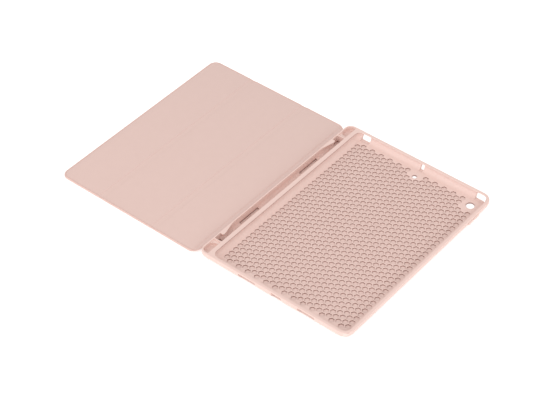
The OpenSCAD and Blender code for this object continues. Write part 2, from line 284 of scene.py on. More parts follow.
class Finish:
    """One material: a Principled shader, and the nodes that feed it."""

    def __init__(self, name, **constants):
        self.material = bpy.data.materials.new(name)
        self.material.use_nodes = True
        self.tree = self.material.node_tree
        self.shader = self.tree.nodes["Principled BSDF"]
        for socket, value in constants.items():
            self.shader.inputs[socket.replace("_", " ")].default_value = value

    def add(self, kind, settings=None, inputs=None, output=0):
        """Adds a node: its settings first, then its sockets' values or links."""
        node = self.tree.nodes.new(kind)
        for name, value in (settings or {}).items():
            setattr(node, name, value)
        for name, value in (inputs or {}).items():
            self.feed(node.inputs[name], value)
        return Value(self, node.outputs[output])

    def feed(self, socket, value):
        """Links a value to a socket, or sets the socket to a plain number or colour."""
        if isinstance(value, Value):
            self.tree.links.new(value.socket, socket)
        elif hasattr(value, "__len__") and len(value) == 3 and len(socket.default_value) == 4:
            socket.default_value = (*value, 1)
        else:
            socket.default_value = value

    def place(self, stretch=(1, 1, 1)):
        """The point on the piece, in metres, stretched along its axes."""
        where = self.add("ShaderNodeTexCoord", output=3)
        return self.add("ShaderNodeMapping", {}, {"Vector": where, "Scale": stretch})

    def noise(self, grain, detail=2, roughness=0.5, stretch=(1, 1, 1)):
        """Noise whose features are about grain metres wide, from 0 to 1."""
        sockets = {
            "Vector": self.place(stretch),
            "Scale": 1 / grain,
            "Detail": detail,
            "Roughness": roughness,
        }
        return self.add("ShaderNodeTexNoise", {}, sockets)

    def pebbles(self, grain):
        """The distance from the nearest cell's middle, for leather grain."""
        sockets = {"Vector": self.place(), "Scale": 1 / grain, "Smoothness": 0.35}
        return self.add("ShaderNodeTexVoronoi", {"feature": "SMOOTH_F1"}, sockets)

    def facing(self, axis):
        """1 where the surface faces along X, Y or Z of the piece, and 0 where it lies along it."""
        normal = self.add("ShaderNodeTexCoord", output=1)
        part = self.add("ShaderNodeSeparateXYZ", {}, {0: normal}, output=axis)
        return part * part

    def under(self, axis, limit, soft):
        """1 where X, Y or Z on the piece is less than a limit, and 0 beyond, with a soft step."""
        where = self.add("ShaderNodeTexCoord", output=3)
        place = self.add("ShaderNodeSeparateXYZ", {}, {0: where}, output=axis)
        steps = {"Value": place, "From Min": limit + soft / 2, "From Max": limit - soft / 2}
        return self.add("ShaderNodeMapRange", {"interpolation_type": "SMOOTHSTEP"}, steps)

    def mix(self, factor, low, high):
        """A colour between two others."""
        node = {"data_type": "RGBA", "clamp_factor": True}
        return self.add("ShaderNodeMix", node, {0: factor, 6: low, 7: high}, output=2)

    def bump(self, height, depth, strength):
        """Feeds the shader's normal from a height of depth metres."""
        sockets = {"Height": height, "Distance": depth, "Strength": strength}
        self.feed(self.shader.inputs["Normal"], self.add("ShaderNodeBump", {}, sockets))

    def surface(self, colour_value, roughness):
        """Feeds the shader's colour and roughness."""
        self.feed(self.shader.inputs["Base Color"], colour_value)
        self.feed(self.shader.inputs["Roughness"], roughness)
        return self.material


def rubber_finish(colours):
    """Soft-touch rubber: matt, with a fine moulded texture and a faint cloudiness.

    The honeycomb's steep walls and the pocket's walls under the lips get painted shade, and the
    pocket's end walls get painted light.
    """
    finish = Finish("soft_rubber", IOR=1.45, Specular_IOR_Level=0.35)
    cloud = finish.noise(22 * MM, detail=3)
    grain = finish.noise(0.35 * MM, detail=2, roughness=0.6)
    tone = cloud * 0.5 + grain * 0.35
    finish.bump(grain, 0.02 * MM, 0.35)
    base = finish.mix(tone, colours.rubber, colours.rubber_deep)
    scene = bpy.context.scene
    tray = scene.tray_shape
    x0, x1, y0, y1 = pocket_box(tray, scene.channel_shape)
    cells = finish.under(2, tray.floor - 0.05 * MM, 0.1 * MM)
    across = (1 - finish.under(0, x0 - MM, MM)) * finish.under(0, x1 + MM, MM)
    pocket = across * (1 - finish.under(1, y0 - MM, MM)) * finish.under(1, y1 + MM, MM)
    # A band from just below the lip upwards, where shade is painted on the pocket's side walls.
    groove_foot = TRAY_HIGH.z - tray.lip_height - 0.8 * MM
    groove = 1 - finish.under(2, groove_foot, 0.4 * MM)
    # Painted shade on the steep walls of the honeycomb's cells, below the floor's level.
    base = finish.mix((1 - finish.facing(2)) * cells, base, colours.painted_wall_shade)
    # Painted light on the pocket's walls that face along Y, above the floor.
    base = finish.mix(finish.facing(1) * (1 - cells) * pocket, base, colours.painted_wall_light)
    # Painted shade under the lips: the pocket's walls that face along X take the dark wall tone in
    # that band.
    base = finish.mix(finish.facing(0) * groove * pocket * 0.6, base, colours.painted_wall_shade)
    return finish.surface(base, 0.5 + 0.16 * grain)


def microfibre_finish(colours):
    """Microfibre lining: short brushed fibres that lie along the cover, with a soft sheen."""
    finish = Finish("microfibre", Specular_IOR_Level=0.2, Sheen_Weight=0.2, Sheen_Roughness=0.5)
    nap = finish.noise(9 * MM, detail=3)
    fibre = finish.noise(0.3 * MM, detail=3, roughness=0.7, stretch=(1, 0.35, 1))
    speck = finish.noise(0.9 * MM, detail=2)
    tone = nap * 0.25 + fibre * 0.45 + speck * 0.3
    finish.bump(fibre, 0.03 * MM, 0.5)
    base = finish.mix(tone, colours.lining, colours.lining_deep)
    return finish.surface(base, 0.86 + 0.12 * fibre)


def leather_finish(colours):
    """Synthetic leather: small round pebbles with darker lines between them."""
    finish = Finish("synthetic_leather", Specular_IOR_Level=0.4)
    pebble = finish.pebbles(1.1 * MM)
    pore = finish.noise(0.25 * MM, detail=2)
    cloud = finish.noise(30 * MM, detail=2)
    line = pebble * pebble
    finish.bump(1 - line, 0.06 * MM, 0.5)
    base = finish.mix(line * 0.7 + cloud * 0.3, colours.leather, colours.leather_deep)
    return finish.surface(base, 0.44 + 0.2 * line + 0.08 * pore)


def board_finish(colours):
    """Grey board: pressed pulp with darker flecks."""
    finish = Finish("grey_board", Specular_IOR_Level=0.2)
    fleck = finish.noise(0.8 * MM, detail=4, roughness=0.7)
    finish.bump(fleck, 0.05 * MM, 0.5)
    return finish.surface(finish.mix(fleck, colours.board, colours.board_deep), 0.85 + 0.1 * fleck)


def steel_finish(colours):
    """Plated magnets: fine grinding lines along X."""
    finish = Finish("plated_steel", Metallic=1.0)
    brushed = finish.noise(0.2 * MM, detail=2, stretch=(0.05, 1, 1))
    finish.bump(brushed, 0.01 * MM, 0.3)
    base = finish.mix(brushed * 0.3, colours.steel, (0.4, 0.4, 0.42))
    return finish.surface(base, 0.25 + 0.15 * brushed)


def ground_finish(colours):
    """A plain pale floor."""
    white = (1, 1, 1, 1)
    finish = Finish(
        "pale_floor", Specular_IOR_Level=0.1, Emission_Color=white, Emission_Strength=0.3
    )
    haze = finish.noise(300 * MM, detail=1)
    base = finish.mix(haze * 0.2, colours.ground, (0.9, 0.9, 0.9))
    return finish.surface(base, 0.9 + 0.05 * haze)


FINISHES = {
    "rubber": rubber_finish,
    "microfibre": microfibre_finish,
    "leather": leather_finish,
    "board": board_finish,
    "steel": steel_finish,
    "ground": ground_finish,
}
made = {}


def finish_of(name):
    """The material of that name, made when it is first asked for."""
    if name not in made:
        made[name] = FINISHES[name](bpy.context.scene.case_colours)
    return made[name]


# ---------------------------------------------------------------- shapes


CORNER_STEPS = 16
EDGE_STEPS = 10
SMALL_STEPS = 4


def arc(start, end, steps):
    """The cosines and sines of evenly spaced angles, from start to end in degrees."""
    for i in range(steps + 1):
        angle = math.radians(start + (end - start) * i / steps)
        yield math.cos(angle), math.sin(angle)


def ring(box, corners, insets, heights):
    """A closed line round a rounded rectangle, counterclockwise.

    box is (x0, x1, y0, y1) and corners the radii at low and high X. insets and heights are each for
    the low X side, the high X side and the two ends; round a corner they run into each other.
    """
    x0, x1, y0, y1 = box
    points = []
    for quarter, (sx, sy) in enumerate(((1, -1), (1, 1), (-1, 1), (-1, -1))):
        side = 1 if sx > 0 else 0
        rx = max(corners[side] - insets[side], TINY)
        ry = max(corners[side] - insets[2], TINY)
        cx = x1 - insets[1] - rx if sx > 0 else x0 + insets[0] + rx
        cy = y1 - insets[2] - ry if sy > 0 else y0 + insets[2] + ry
        for c, s in arc(90 * (quarter - 1), 90 * quarter, CORNER_STEPS):
            z = heights[side] * c * c + heights[2] * s * s
            points.append((cx + rx * c, cy + ry * s, z))
    return points


def foot(radii, z, steps=EDGE_STEPS):
    """Insets and heights of a rounded lower edge, from the flat underside to the wall."""
    for c, s in arc(0, 90, steps):
        yield [r * (1 - s) for r in radii], [z + r * (1 - c) for r in radii]


def head(radii, z, steps=SMALL_STEPS):
    """Insets and heights of a rounded upper edge, from the wall to the flat top."""
    for c, s in arc(0, 90, steps):
        yield [r * (1 - c) for r in radii], [z - r * (1 - s) for r in radii]


def level(inset, z):
    """Insets and heights that are the same on all sides."""
    return [inset] * 3, [z] * 3


def mouth(inset, soft, top):
    """Insets and heights of a recess's softened mouth, from below the rim to past it."""
    for c, s in arc(0, 90, SMALL_STEPS):
        yield level(inset - soft * (1 - c), top - soft + soft * s)
    yield level(inset - soft, top + PAST)


def loft(rings):
    """A closed solid through rings of equally many points."""
    shape = bmesh.new()
    rows = [[shape.verts.new(point) for point in line] for line in rings]
    count = len(rows[0])
    for low, high in zip(rows, rows[1:]):
        for i in range(count):
            j = (i + 1) % count
            shape.faces.new((low[i], low[j], high[j], high[i]))
    shape.faces.new(rows[0][::-1])
    shape.faces.new(rows[-1])
    return shape


def solid(name, *shapes):
    """An object of one or more closed shapes, their faces turned outward."""
    mesh = bpy.data.meshes.new(name)
    whole = bmesh.new()
    for shape in shapes:
        shape.to_mesh(mesh)
        whole.from_mesh(mesh)
        shape.free()
    bmesh.ops.recalc_face_normals(whole, faces=whole.faces)
    whole.to_mesh(mesh)
    whole.free()
    piece = bpy.data.objects.new(name, mesh)
    bpy.context.scene.collection.objects.link(piece)
    return piece


def tub(box, corners, levels):
    """A solid from a rounded rectangle and pairs of insets and heights, from the lowest up."""
    return loft([ring(box, corners, insets, heights) for insets, heights in levels])


def prism(box, radius, z0, z1):
    """A straight rounded block."""
    return tub(box, (radius, radius), [level(0, z0), level(0, z1)])


def turned(shape, axes):
    """A shape whose X, Y and Z become the axes of those numbers."""
    for vert in shape.verts:
        vert.co = Vector([vert.co[axes.index(i)] for i in range(3)])
    return shape


def settle(piece):
    """Applies a piece's modifiers."""
    bpy.context.view_layer.update()
    depsgraph = bpy.context.evaluated_depsgraph_get()
    mesh = bpy.data.meshes.new_from_object(piece.evaluated_get(depsgraph))
    old = piece.data
    piece.modifiers.clear()
    piece.data = mesh
    mesh.name = piece.name
    bpy.data.meshes.remove(old)


def carve(piece, shape, operation="DIFFERENCE"):
    """Cuts a shape out of a piece, or joins it on."""
    tool = solid("tool", shape)
    change = piece.modifiers.new("carve", "BOOLEAN")
    change.operation = operation
    change.solver = "MANIFOLD"
    change.object = tool
    settle(piece)
    mesh = tool.data
    bpy.data.objects.remove(tool)
    bpy.data.meshes.remove(mesh)


def dress(piece, finish, sharp=32):
    """Shades a finished mesh smooth between its sharp edges, and gives it its material."""
    work = bmesh.new()
    work.from_mesh(piece.data)
    bmesh.ops.remove_doubles(work, verts=work.verts, dist=WELD)
    bmesh.ops.dissolve_degenerate(work, edges=work.edges, dist=WELD)
    for face in work.faces:
        face.smooth = True
    limit = math.radians(sharp)
    for edge in work.edges:
        edge.smooth = len(edge.link_faces) == 2 and edge.calc_face_angle(0) < limit
    work.to_mesh(piece.data)
    work.free()
    piece.data.materials.clear()
    piece.data.materials.append(finish_of(finish))
    for polygon in piece.data.polygons:
        polygon.material_index = 0
    return piece


def weigh(piece):
    """Evens the shading of large flat faces beside narrow round ones."""
    even = piece.modifiers.new("even shading", "WEIGHTED_NORMAL")
    even.keep_sharp = True
    even.weight = 50
    return piece


# ---------------------------------------------------------------- the tray


def pocket_box(tray, channel):
    """(x0, x1, y0, y1) of the tablet's pocket."""
    return (
        TRAY_LOW.x + channel.wall + channel.width + channel.divider,
        TRAY_HIGH.x - tray.side_wall,
        TRAY_LOW.y + tray.end_wall,
        TRAY_HIGH.y - tray.end_wall,
    )


def tray_outside(tray):
    """The tray's outside: round below, with softer corners away from the hinge."""
    box = (TRAY_LOW.x, TRAY_HIGH.x, TRAY_LOW.y, TRAY_HIGH.y)
    corners = (tray.hinge_corner, tray.corner)
    top = (tray.soft_edge, tray.rim, tray.rim)
    levels = [
        *foot((tray.hinge_edge, tray.edge, tray.edge), 0),
        *head(top, TRAY_HIGH.z),
    ]
    return tub(box, corners, levels)


def tablet_pocket(tray, channel):
    """The space for the tablet: full size below, narrower between the lips."""
    top = TRAY_HIGH.z
    under_lip = top - tray.lip_height
    levels = [
        *foot((tray.fillet,) * 3, tray.floor),
        level(0, under_lip - tray.soft_edge),
        level(tray.soft_edge * 0.3, under_lip),
        level(tray.lip_reach, under_lip + TINY),
        *mouth(tray.lip_reach, tray.soft_edge, top),
    ]
    return tub(pocket_box(tray, channel), (tray.pocket_corner,) * 2, levels)


def open_recess(tray, box, corners, floor_radii, floor):
    """A recess in the rim with a rounded floor and a softened mouth."""
    levels = [*foot(floor_radii, floor, 6), *mouth(0, tray.soft_edge, TRAY_HIGH.z)]
    return tub(box, corners, levels)


# From a rib to a tab's widest place, and how the tab narrows from there: shares of its reach, at
# shares of its length.
TAB_FROM_RIB = 10.6 * MM
TAB_TAPER = ((0.93, 0.17), (0.6, 0.42), (0.25, 0.72), (0, 1))


def retaining_tab(channel, side):
    """One tab over the channel: widest near the rib and tapering off towards the middle."""
    nose = 1.6 * MM
    root = -0.6 * MM
    soft = 0.3 * MM
    x0 = TRAY_LOW.x + channel.wall
    reach, run, thick = channel.tab_reach, channel.tab_length, channel.tab_thickness
    wide_y = channel.half_length - TAB_FROM_RIB
    outline = [(root, wide_y + nose)]
    outline += [(reach - nose + nose * c, wide_y + nose * s) for c, s in arc(90, 0, 8)]
    outline.append((reach, wide_y - nose))
    outline += [(reach * wide, wide_y - run * along) for wide, along in TAB_TAPER]
    outline.append((root, wide_y - run - MM))
    middle = Vector((0.3 * reach, wide_y - 0.3 * run))
    rims = (
        (soft, -thick),
        (0, soft - thick),
        (0, -soft),
        (0.3 * soft, -0.3 * soft),
        (soft, 0),
    )
    rings = []
    for shrink, z in rims:
        line = []
        for x, y in outline:
            pull = (middle - Vector((x, y))).normalized() * shrink
            px = x + (pull.x if x > 0 else 0)
            line.append((x0 + px, side * (y + pull.y), TRAY_HIGH.z + z))
        rings.append(line)
    return loft(rings)


def window(tray, openings, middle, width, side):
    """A rounded window with its middle at X, through the end wall at side 1 or -1."""
    half = (TRAY_HIGH.y - TRAY_LOW.y) / 2
    inner = half - tray.end_wall - tray.fillet
    outer = half + PAST
    span = sorted((side * inner, side * outer))
    box = (middle - width / 2, middle + width / 2, openings.window_low, openings.window_high)
    return turned(prism(box, openings.window_corner, *span), (0, 2, 1))


def round_hole(tray, openings, x, radius):
    """The cutter of a round hole through the floor, with a sloped rim above."""
    y = openings.hole_y
    box = (x - radius, x + radius, y - radius, y + radius)
    slope = openings.hole_slope
    levels = [
        level(0, -PAST),
        level(0, tray.floor - slope * 0.6),
        level(-slope, tray.floor + TINY),
        level(-slope, tray.floor + PAST),
    ]
    return tub(box, (radius, radius), levels)


def cell_places(tray, channel, openings, cells):
    """The middles of the honeycomb's cells, in staggered columns, clear of the two holes."""
    x0, x1, y0, y1 = pocket_box(tray, channel)
    centre = Vector(((x0 + x1) / 2, (y0 + y1) / 2))
    column = cells.pitch * math.sqrt(3) / 2
    radius = cells.width / math.sqrt(3)
    columns = int((x1 - x0 - 2 * tray.fillet) / column)
    rows = int((y1 - y0 - 2 * tray.fillet - cells.plain) / cells.pitch)
    camera = Vector((openings.camera_x, openings.hole_y))
    microphone = Vector((0, openings.hole_y))
    for i in range(columns):
        count = rows + i % 2
        for j in range(count):
            place = Vector(((i - (columns - 1) / 2) * column, (j - (count - 1) / 2) * cells.pitch))
            if (place - camera).length < openings.camera_ring + radius:
                continue
            if (place - microphone).length < openings.microphone_ring + radius / 2:
                continue
            yield centre + place


def honeycomb(tray, channel, openings, cells):
    """The cutters of all cells in one shape."""
    radius = cells.width / math.sqrt(3)
    floor = tray.floor
    bevel = cells.bevel
    steps = (
        (radius - cells.draft - bevel, floor - cells.depth),
        (radius - cells.draft, floor - cells.depth + bevel),
        (radius - bevel * 0.3, floor - bevel),
        (radius + bevel, floor + bevel * 0.2),
        (radius + bevel, floor + bevel),
    )
    around = list(arc(0, 300, 5))
    shape = bmesh.new()
    for middle in cell_places(tray, channel, openings, cells):
        rows = []
        for size, z in steps:
            points = [(middle.x + size * c, middle.y + size * s, z) for c, s in around]
            rows.append([shape.verts.new(point) for point in points])
        for low, high in zip(rows, rows[1:]):
            for k in range(6):
                m = (k + 1) % 6
                shape.faces.new((low[k], low[m], high[m], high[k]))
        shape.faces.new(rows[0][::-1])
        shape.faces.new(rows[-1])
    return shape


PAD_CORNER = 1.5 * MM
PAD_GAP = 0.2 * MM
PAD_DEPTH = 6 * MM
FLAP_DEPTH = 0.7 * MM
FLAP_BEND = 0.5 * MM


def pad_box(node, grow):
    """The outline in Y and Z of a volume pad, grown on all sides."""
    low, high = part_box(node)
    return (low.y - grow, high.y + grow, low.z - grow, high.z + grow)


def pad_prism(node, grow, x0, x1):
    """A block along X with a volume pad's outline."""
    return turned(prism(pad_box(node, grow), PAD_CORNER, x0, x1), (1, 2, 0))


def flap_recess(tray):
    """The shallow recess under the tray that takes the hinge flap."""
    low, high = FLAP_LOW, FLAP_HIGH
    t = FLAP_DEPTH
    r = tray.hinge_edge - FLAP_BEND
    outer = [(low.x - PAST, high.z), (TRAY_LOW.x, high.z)]
    outer += [(TRAY_LOW.x + r * (1 + c), t + r * (1 + s)) for c, s in arc(180, 270, 6)]
    outer += [(high.x, t), (high.x, -PAST), (low.x - PAST, -PAST)]
    return loft([[(x, y, z) for x, z in outer] for y in (low.y, high.y)])


# The windows' middles and widths in millimetres, and the end wall that each is in.
WINDOWS = {
    "headphone socket": (-76, 11.5, 1),
    "upper microphone": (0, 4.5, 1),
    "power button": (76.4, 12.5, 1),
    "charging plug": (0, 13, -1),
    "left speaker": (-38, 22, -1),
    "right speaker": (38, 22, -1),
}


# Corner radii in plan of the channel's hollows, at low and high X where they differ.
CHANNEL_CORNERS = (MM, MM)
WELL_CORNER = 0.8 * MM
SLOT_CORNER = 0.5 * MM
HOLLOW_CORNERS = (5.6 * MM, 0.6 * MM)
SHELF_CORNERS = (0.6 * MM, 0.6 * MM)
# Roundings of their floors, at low X, high X and the ends.
HOLLOW_FLOOR = (0.8 * MM, 3.2 * MM, 1.2 * MM)
SHELF_FLOOR = (0.4 * MM,) * 3
# The wall beyond a corner hollow, its step in from the channel's wall, and the shelf's overlap.
HOLLOW_END = 2.4 * MM
HOLLOW_STEP = 0.4 * MM
SHELF_OVERLAP = 6 * MM


class CASE_OT_tray(bpy.types.Operator):
    """Build the moulded tray with its channel, honeycomb, windows and holes"""

    bl_idname = "case.tray"
    bl_label = "Moulded tray"

    def execute(self, context):
        scene = context.scene
        tray, channel = scene.tray_shape, scene.channel_shape
        openings, cells = scene.opening_shape, scene.cell_shape
        piece = solid("moulded_tray", tray_outside(tray))
        carve(piece, tablet_pocket(tray, channel))

        x0 = TRAY_LOW.x + channel.wall
        x1 = x0 + channel.width
        reach = channel.half_length
        between_ribs = (x0, x1, -reach, reach)
        groove = channel.width / 2 - 0.6 * MM
        round_floor = (groove, groove, 0.8 * MM)
        carve(
            piece, open_recess(tray, between_ribs, CHANNEL_CORNERS, round_floor, channel.floor)
        )
        above = TRAY_HIGH.z - channel.shelf_drop
        for side in (-1, 1):
            well = sorted((side * reach, side * (reach - channel.well)))
            carve(piece, prism((x0, x1, *well), WELL_CORNER, channel.deep, 5 * MM))
            slot = sorted((side * channel.slot_start, side * channel.slot_end))
            slot_box = (x0, x0 + channel.slot_width, *slot)
            carve(piece, prism(slot_box, SLOT_CORNER, channel.deep, 4 * MM))

            start = reach + channel.rib
            end = start + channel.shelf
            hollow = sorted((side * end, side * (TRAY_HIGH.y - HOLLOW_END)))
            shelf = sorted((side * start, side * (end + SHELF_OVERLAP)))
            for span, corners, rounds, height in (
                (hollow, HOLLOW_CORNERS, HOLLOW_FLOOR, channel.hollow_floor),
                (shelf, SHELF_CORNERS, SHELF_FLOOR, above),
            ):
                box = (x0 + HOLLOW_STEP, x1, *span)
                carve(piece, open_recess(tray, box, corners, rounds, height))
            carve(piece, retaining_tab(channel, side), "UNION")

        centre = sum(pocket_box(tray, channel)[:2]) / 2
        for middle, width, side in WINDOWS.values():
            place = centre + middle * MM
            carve(piece, window(tray, openings, place, width * MM, side))
        camera_x = centre + openings.camera_x
        carve(piece, round_hole(tray, openings, camera_x, openings.camera_radius))
        carve(piece, round_hole(tray, openings, centre, openings.microphone_radius))
        for node in ("volume_up_button", "volume_down_button"):
            depth = (TRAY_HIGH.x - PAD_DEPTH, TRAY_HIGH.x + PAST)
            carve(piece, pad_prism(node, PAD_GAP, *depth))
        carve(piece, flap_recess(tray))
        carve(piece, honeycomb(tray, channel, openings, cells))
        dress(piece, "rubber")
        weigh(piece)
        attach(piece, "tray")
        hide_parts("back_tray")
        return {"FINISHED"}


class CASE_OT_volume_pads(bpy.types.Operator):
    """Build the two volume pads in the far wall"""

    bl_idname = "case.volume_pads"
    bl_label = "Volume pads"

    def execute(self, context):
        for body in ("volume_up", "volume_down"):
            node = body + "_button"
            low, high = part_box(node)
            box = pad_box(node, 0)
            soft = 0.45 * MM
            crown = 0.12 * MM
            levels = [level(0, low.x), *head((soft,) * 3, high.x - crown)]
            levels += [level(soft * 2, high.x - crown / 4), level(soft * 2.9, high.x)]
            shape = turned(tub(box, (PAD_CORNER,) * 2, levels), (1, 2, 0))
            piece = solid(body + "_pad", shape)
            dress(piece, "rubber", 40)
            weigh(piece)
            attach(piece, body)
            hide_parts(node)
        return {"FINISHED"}


# ---------------------------------------------------------------- the cover


def smooth(t):
    """0 before 0, 1 after 1, and a soft step between."""
    t = min(max(t, 0), 1)
    return t * t * (3 - 2 * t)


def cover_box(cover):
    """(x0, x1, y0, y1) of the whole cover, from its free edge to its corners beside the tray."""
    return (FREE_LOW.x, SPINE_X + cover.ear, FREE_LOW.y, FREE_HIGH.y)


def folded_height(cover, z):
    """The height that a point of the cover's section has where the sheet is thin enough to fold."""
    middle = COVER_TOP / 2
    stations = (
        (0, cover.recess),
        (cover.skin, middle - TINY),
        (cover.skin + cover.board, middle + TINY),
        (COVER_TOP, COVER_TOP - cover.recess),
    )
    for (za, ha), (zb, hb) in zip(stations, stations[1:]):
        if z <= zb:
            return ha + (z - za) / (zb - za) * (hb - ha)
    return z - cover.recess


def thinning(cover, x):
    """How far the sheet is thinned at x: 0 on a panel, 1 in a fold."""
    for fold in (OUTER_FOLD_X, INNER_FOLD_X):
        away = abs(x - fold)
        if away < cover.fold:
            return smooth((cover.fold - away) / cover.slope)
    return smooth((x - SPINE_X + cover.spine_fold) / (2 * cover.slope))


def lift(cover, x):
    """How far the sheet rises towards the tray's hinge line."""
    slope = (TRAY_HINGE_Z - SPINE_Z) / (TRAY_HINGE_X - SPINE_X)
    half = cover.spine_fold
    along = x - SPINE_X
    if along <= -half:
        return 0
    if along < half:
        return slope * (along + half) ** 2 / (4 * half)
    return slope * along


FOLD_STEPS = 12
SPINE_STEPS = 16
NECK_STEPS = 18
NECK_THINNING = 0.62
ON_PLANE = 1e-7


def formed(cover, shape):
    """Cuts a flat cover sheet into columns, thins it at its folds and lifts it at the hinge."""
    stations = []
    for fold in (OUTER_FOLD_X, INNER_FOLD_X):
        steps = range(-FOLD_STEPS, FOLD_STEPS + 1)
        stations += [fold + cover.fold * i / FOLD_STEPS for i in steps]
    start = SPINE_X - cover.spine_fold
    end = SPINE_X + cover.ear
    stations += [start + (end - start) * i / SPINE_STEPS for i in range(SPINE_STEPS)]
    for x in stations:
        everything = shape.verts[:] + shape.edges[:] + shape.faces[:]
        bmesh.ops.bisect_plane(
            shape, geom=everything, dist=ON_PLANE, plane_co=(x, 0, 0), plane_no=(1, 0, 0)
        )
    for vert in shape.verts:
        x, _, z = vert.co
        z += thinning(cover, x) * (folded_height(cover, z) - z)
        vert.co.z = z + lift(cover, x)
    return shape


def cut_between(shape, name, x0, x1):
    """The part of a sheet between two planes, closed where it was cut."""
    part = shape.copy()
    for x, direction in ((x0, -1), (x1, 1)):
        if x is None:
            continue
        everything = part.verts[:] + part.edges[:] + part.faces[:]
        bmesh.ops.bisect_plane(
            part,
            geom=everything,
            dist=ON_PLANE,
            plane_co=(x, 0, 0),
            plane_no=(direction, 0, 0),
            clear_outer=True,
        )
        rim = [edge for edge in part.edges if edge.is_boundary]
        bmesh.ops.holes_fill(part, edges=rim)
    return solid(name, part)


def skin_sheet(cover):
    """The outer skin: a thin sheet with a rounded border that stands up round the lining."""
    inner = cover.border
    levels = [
        *foot((cover.low_round,) * 3, 0, 5),
        *head((cover.top_round,) * 3, COVER_TOP, steps=6),
        level(inner - 0.3 * MM, COVER_TOP),
        level(inner - 0.1 * MM, COVER_TOP - 0.08 * MM),
        level(inner, COVER_TOP - 0.25 * MM),
        level(inner, cover.skin),
    ]
    return tub(cover_box(cover), (cover.corner, cover.hinge_corner), levels)


def lining_sheet(cover):
    """The lining: a flat sheet of microfibre inside the skin's border."""
    inner = cover.border
    top = COVER_TOP - cover.sunk
    levels = [
        level(inner, cover.skin + cover.board),
        level(inner, top - 0.25 * MM),
        level(inner + 0.12 * MM, top - 0.08 * MM),
        level(inner + 0.4 * MM, top),
    ]
    return tub(cover_box(cover), (cover.corner, cover.hinge_corner), levels)


def neck(cover, low, high):
    """The last strip of the spine, from the cover's edge to the tray's wall.

    low and high are how far it lies below and above the middle of the sheet, where it starts. It
    gets thinner on its way, so that it can bend sharply.
    """
    x0 = SPINE_X + cover.ear
    z0 = SPINE_Z + lift(cover, x0)
    slope = (TRAY_HINGE_Z - SPINE_Z) / (TRAY_HINGE_X - SPINE_X)
    x3 = (FLAP_LOW.x + TRAY_LOW.x) / 2
    z3 = FLAP_HIGH.z
    pull = 2.0 * MM
    controls = [
        Vector((x0, z0)),
        Vector((x0 + pull, z0 + slope * pull)),
        Vector((x3, z3 + pull * 0.9)),
        Vector((x3, z3)),
    ]
    middle = []
    for i in range(NECK_STEPS + 1):
        t = i / NECK_STEPS
        weights = ((1 - t) ** 3, 3 * t * (1 - t) ** 2, 3 * t * t * (1 - t), t**3)
        middle.append(sum((p * w for p, w in zip(controls, weights)), Vector((0, 0))))
    above, below = [], []
    for i, point in enumerate(middle):
        along = (middle[min(i + 1, NECK_STEPS)] - middle[max(i - 1, 0)]).normalized()
        across = Vector((0, 1)) if i == 0 else Vector((-along.y, along.x))
        kept = 1 - NECK_THINNING * smooth(3 * i / NECK_STEPS)
        above.append(point + across * high * kept)
        below.append(point - across * low * kept)
    outline = below + above[::-1]
    return loft([[(p.x, y, p.y) for p in outline] for y in (FLAP_LOW.y, FLAP_HIGH.y)])


PANELS = (
    ("free_panel", None, "outer"),
    ("middle_panel", "outer", "inner"),
    ("inner_panel", "inner", "spine"),
)


def edge_of(cover, fold, side):
    """The plane where a fold's strip meets the panel on its low (-1) or high (1) side."""
    if fold is None:
        return None
    middle = {"outer": OUTER_FOLD_X, "inner": INNER_FOLD_X, "spine": SPINE_X}[fold]
    half = cover.spine_fold if fold == "spine" else cover.fold
    return middle + side * half


class CASE_OT_cover(bpy.types.Operator):
    """Build the three stiff panels of the cover, and the strips at the folds between them"""

    bl_idname = "case.cover"
    bl_label = "Folding cover"

    def execute(self, context):
        cover = context.scene.cover_shape
        layers = (
            ("skin", "leather", "outer_leather", skin_sheet(cover)),
            ("lining", "microfibre", "microfibre", lining_sheet(cover)),
        )
        folds = {
            "outer_fold": ("middle_panel", "free_panel", "outer", "outer_crease"),
            "inner_fold": ("inner_panel", "middle_panel", "inner", "inner_crease"),
            "spine_fold": ("spine", "inner_panel", "spine", "spine_crease"),
        }
        for layer, finish, slot, flat in layers:
            sheet = formed(cover, flat)
            for name, (high_body, low_body, fold, crease) in folds.items():
                x0 = edge_of(cover, fold, -1)
                x1 = edge_of(cover, fold, 1) if fold != "spine" else None
                piece = cut_between(sheet, f"{name}_{layer}", x0, x1)
                dress(piece, finish)
                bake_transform(piece)
                if layer == "skin":
                    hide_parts(crease)
            for body, before, after in PANELS:
                x0, x1 = edge_of(cover, before, 1), edge_of(cover, after, -1)
                piece = cut_between(sheet, f"{body}_{layer}_sheet", x0, x1)
                dress(piece, finish)
                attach(piece, body)
                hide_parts(f"{body}_{layer}")
                low_x = FREE_LOW.x if x0 is None else x0
                x1 - low_x
            sheet.free()
        return {"FINISHED"}


class CASE_OT_spine(bpy.types.Operator):
    """Build the strip of leather and lining that joins the cover to the tray"""

    bl_idname = "case.spine"
    bl_label = "Spine"

    def execute(self, context):
        cover = context.scene.cover_shape
        half = COVER_TOP / 2 - cover.recess
        for layer, finish, slot, low, high in (
            ("skin", "leather", "outer_leather", half, 0),
            ("lining", "microfibre", "microfibre", 0, half),
        ):
            piece = solid(f"spine_{layer}_strip", neck(cover, low, high))
            dress(piece, finish)
            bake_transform(piece)
            nodes = ["spine_skin", "tray_crease"] if layer == "skin" else ["spine_lining"]
            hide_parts(*nodes)
        return {"FINISHED"}


